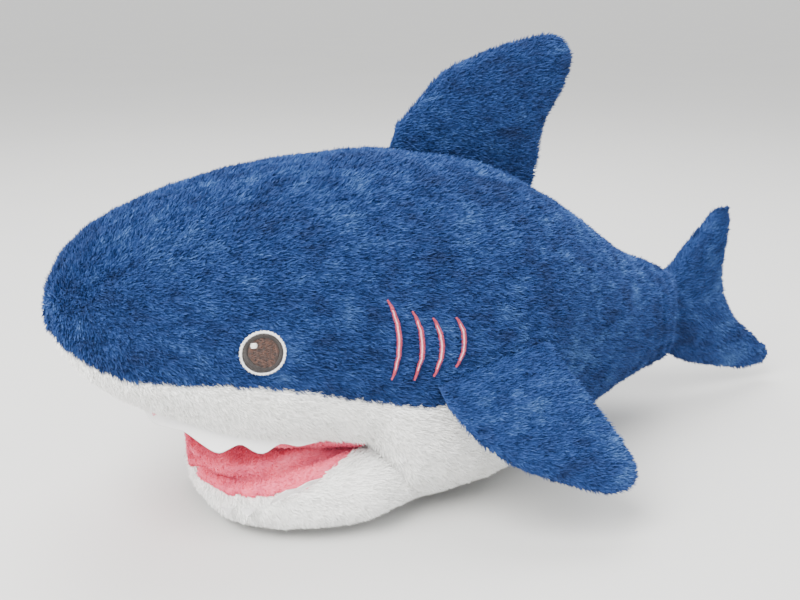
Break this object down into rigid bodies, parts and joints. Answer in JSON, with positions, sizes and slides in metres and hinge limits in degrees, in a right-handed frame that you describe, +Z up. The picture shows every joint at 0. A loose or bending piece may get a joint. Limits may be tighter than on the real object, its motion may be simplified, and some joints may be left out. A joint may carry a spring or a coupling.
{
  "type": "plush shark",
  "caption": "Stuffed plush shark with a soft padded mouth that opens, leaning dorsal fin, flapping side fins and a tail that swings.",
  "frame": {"origin": "on the floor plane, under the middle of the whole length", "axes": "+Z up, +Y towards the tail, -Y towards the nose, +X to the shark's own left"},
  "size_m": [0.292, 0.539, 0.2709],
  "materials": {
    "blue_plush": "short brushed pile, matt with lighter streaks",
    "white_plush": "short brushed pile, warm white",
    "pink_plush": "very short velvety pile",
    "white_satin": "smooth satin, folded and sewn",
    "eye_white_thread": "satin-stitch embroidery",
    "eye_black_thread": "satin-stitch embroidery",
    "eye_brown_thread": "tatami-stitch embroidery",
    "gill_thread": "satin-stitch embroidery, two tones",
    "stuffing": "loose polyester fibre filling"
  },
  "bodies": {
    "trunk": {"back_panel_left": "blue_plush", "back_panel_right": "blue_plush", "muzzle_left": "white_plush", "muzzle_right": "white_plush", "belly_panel": "white_plush", "palate_lining": "pink_plush", "trunk_stuffing": "stuffing", "eye_white_left": "eye_white_thread", "eye_white_right": "eye_white_thread", "eye_rim_left": "eye_black_thread", "eye_rim_right": "eye_black_thread", "eye_iris_left": "eye_brown_thread", "eye_iris_right": "eye_brown_thread", "eye_glint_left": "eye_white_thread", "eye_glint_right": "eye_white_thread", "gill_stitches_left": "gill_thread", "gill_stitches_right": "gill_thread", "upper_teeth": "white_satin"},
    "jaw": {"jaw_panel": "white_plush", "jaw_lining": "pink_plush", "jaw_stuffing": "stuffing", "lower_teeth": "white_satin"},
    "dorsal_fin": {"dorsal_panel_left": "blue_plush", "dorsal_panel_right": "blue_plush", "dorsal_stuffing": "stuffing"},
    "pectoral_fin_left": {"pectoral_top_left": "blue_plush", "pectoral_under_left": "blue_plush", "pectoral_stuffing_left": "stuffing"},
    "pectoral_fin_right": {"pectoral_top_right": "blue_plush", "pectoral_under_right": "blue_plush", "pectoral_stuffing_right": "stuffing"},
    "tail_stalk": {"tail_panel_left": "blue_plush", "tail_panel_right": "blue_plush", "tail_stuffing": "stuffing"},
    "tail_fin": {"tail_fin_panel_left": "blue_plush", "tail_fin_panel_right": "blue_plush", "tail_fin_stuffing": "stuffing"}
  },
  "joints": [
    {"name": "jaw_hinge", "type": "hinge", "parent": "trunk", "child": "jaw", "pos_m": [0, -0.11425, 0.04], "axis": [1, 0, 0], "range_deg": [0, 22], "stiffness_Nm_per_rad": 0.3},
    {"name": "dorsal_lean", "type": "hinge", "parent": "trunk", "child": "dorsal_fin", "pos_m": [0, -0.06917, 0.2219], "axis": [0, 0.9538, -0.3004], "range_deg": [-18, 18], "stiffness_Nm_per_rad": 0.08},
    {"name": "pectoral_left_flap", "type": "hinge", "parent": "trunk", "child": "pectoral_fin_left", "pos_m": [0.09769, -0.0845, 0.08046], "axis": [-0.0875, 0.9847, 0.1509], "range_deg": [-16, 16], "stiffness_Nm_per_rad": 0.08},
    {"name": "pectoral_right_flap", "type": "hinge", "parent": "trunk", "child": "pectoral_fin_right", "pos_m": [-0.09769, -0.0845, 0.08046], "axis": [0.0875, 0.9847, 0.1509], "range_deg": [-16, 16], "stiffness_Nm_per_rad": 0.08},
    {"name": "tail_swing", "type": "hinge", "parent": "trunk", "child": "tail_stalk", "pos_m": [0, 0.07913, 0.08], "axis": [0, 0, 1], "range_deg": [-18, 18], "stiffness_Nm_per_rad": 0.2},
    {"name": "tail_fin_swing", "type": "hinge", "parent": "tail_stalk", "child": "tail_fin", "pos_m": [0, 0.15138, 0.07], "axis": [0, 0, 1], "range_deg": [-22, 22], "stiffness_Nm_per_rad": 0.08}
  ]
}
